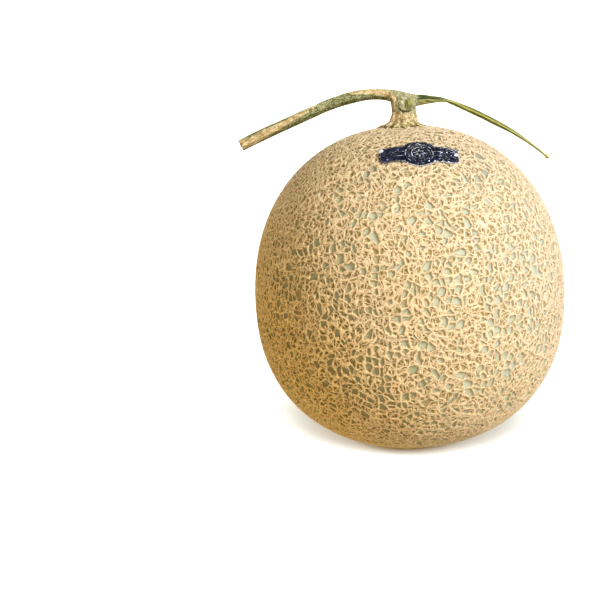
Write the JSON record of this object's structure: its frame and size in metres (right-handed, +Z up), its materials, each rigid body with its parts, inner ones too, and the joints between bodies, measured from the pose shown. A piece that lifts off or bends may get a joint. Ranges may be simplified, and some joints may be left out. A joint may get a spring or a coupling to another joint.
{
  "type": "netted muskmelon",
  "caption": "Whole round muskmelon with a raised corky net, a T-shaped piece of vine on its stalk and a plain foil label.",
  "frame": {"origin": "centre of the flat spot at the blossom end, on which the fruit rests", "axes": "+Z up towards the stalk, the label's face towards -Y, the thick arm of the vine towards -X"},
  "size_m": [0.151, 0.1448, 0.1664],
  "materials": {
    "rind": "matt tan cork net over a grey-green skin",
    "vine": "dry sage green vine with tan corky streaks",
    "label_foil": "glossy navy foil with a silver edge"
  },
  "bodies": {
    "root": {"fruit": "rind", "stem": "vine", "label": "label_foil"}
  },
  "joints": []
}
